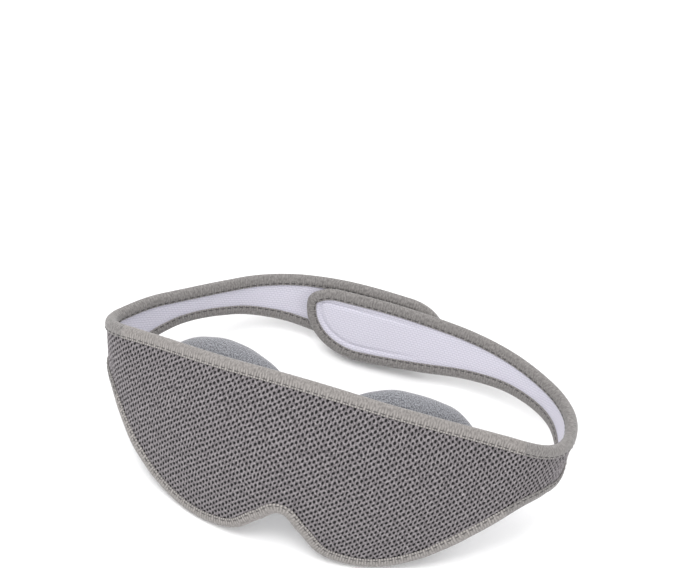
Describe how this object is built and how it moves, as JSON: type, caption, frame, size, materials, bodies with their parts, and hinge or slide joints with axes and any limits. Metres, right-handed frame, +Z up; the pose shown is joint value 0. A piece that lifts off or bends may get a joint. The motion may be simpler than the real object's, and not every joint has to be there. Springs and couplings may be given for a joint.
{
  "type": "sleep eye mask",
  "caption": "Contoured sleep eye mask with padded ring eye cups, moulded eye shells, mesh outer face and a hook-and-loop head strap, standing closed.",
  "frame": {"origin": "middle of the object's box, on the surface it stands on", "axes": "+Z up, the outer face of the mask towards -Y, the head loop towards +Y, +X to the right of someone who looks at the outer face"},
  "size_m": [0.1962, 0.1252, 0.0657],
  "materials": {
    "spacer_mesh": "warm grey warp-knit spacer mesh with staggered oval holes",
    "core_foam": "black blackout foam sheet",
    "loop_lining": "light grey brushed loop fabric",
    "knit_lining": "pale lavender-grey fine knit",
    "binding_tape": "taupe-grey ribbed binding tape with a stitched inner edge",
    "hook_tape": "moulded hook tape",
    "cup_backing": "grey backing cloth",
    "cushion_foam": "soft open-cell foam",
    "jersey": "heather-grey cotton jersey",
    "eye_shell": "dark grey glossy moulded shell"
  },
  "bodies": {
    "mask_front": {"outer_mesh_panel": "spacer_mesh", "blackout_foam_panel": "core_foam", "center_loop_lining": "loop_lining", "left_temple_lining": "knit_lining", "right_temple_lining": "knit_lining", "front_top_binding": "binding_tape", "front_bottom_binding": "binding_tape"},
    "left_strap": {"left_strap_mesh": "spacer_mesh", "left_strap_core": "core_foam", "left_strap_lining": "knit_lining", "left_strap_binding": "binding_tape"},
    "right_strap": {"right_strap_mesh": "spacer_mesh", "right_strap_core": "core_foam", "right_strap_lining": "knit_lining", "right_strap_binding": "binding_tape", "closure_hook_patch": "hook_tape"},
    "left_eye_cup": {"left_cup_hook_pad": "hook_tape", "left_cup_backing": "cup_backing", "left_cup_foam_ring": "cushion_foam", "left_cup_cover": "jersey", "left_eye_shell": "eye_shell"},
    "right_eye_cup": {"right_cup_hook_pad": "hook_tape", "right_cup_backing": "cup_backing", "right_cup_foam_ring": "cushion_foam", "right_cup_cover": "jersey", "right_eye_shell": "eye_shell"}
  },
  "joints": [
    {"name": "left_strap_open", "type": "hinge", "parent": "mask_front", "child": "left_strap", "pos_m": [-0.09504, -0.00068, 0.04786], "axis": [0, 0.5004, 0.8658], "range_deg": [0, 70]},
    {"name": "right_strap_open", "type": "hinge", "parent": "mask_front", "child": "right_strap", "pos_m": [0.09137, -0.0012, 0.04815], "axis": [0, 0.5004, 0.8658], "range_deg": [-28, 0]},
    {"name": "left_cup_spacing", "type": "hinge", "parent": "mask_front", "child": "left_eye_cup", "pos_m": [-0.00232, 0.07548, 0.00384], "axis": [0, 0.5004, 0.8658], "range_deg": [-2.5, 0.8]},
    {"name": "right_cup_spacing", "type": "hinge", "parent": "mask_front", "child": "right_eye_cup", "pos_m": [-0.00232, 0.07548, 0.00384], "axis": [0, 0.5004, 0.8658], "range_deg": [-0.8, 2.5]}
  ],
  "couplings": [
    {"joint": "right_strap_open", "follows": "left_strap_open", "ratio": -0.4}
  ]
}
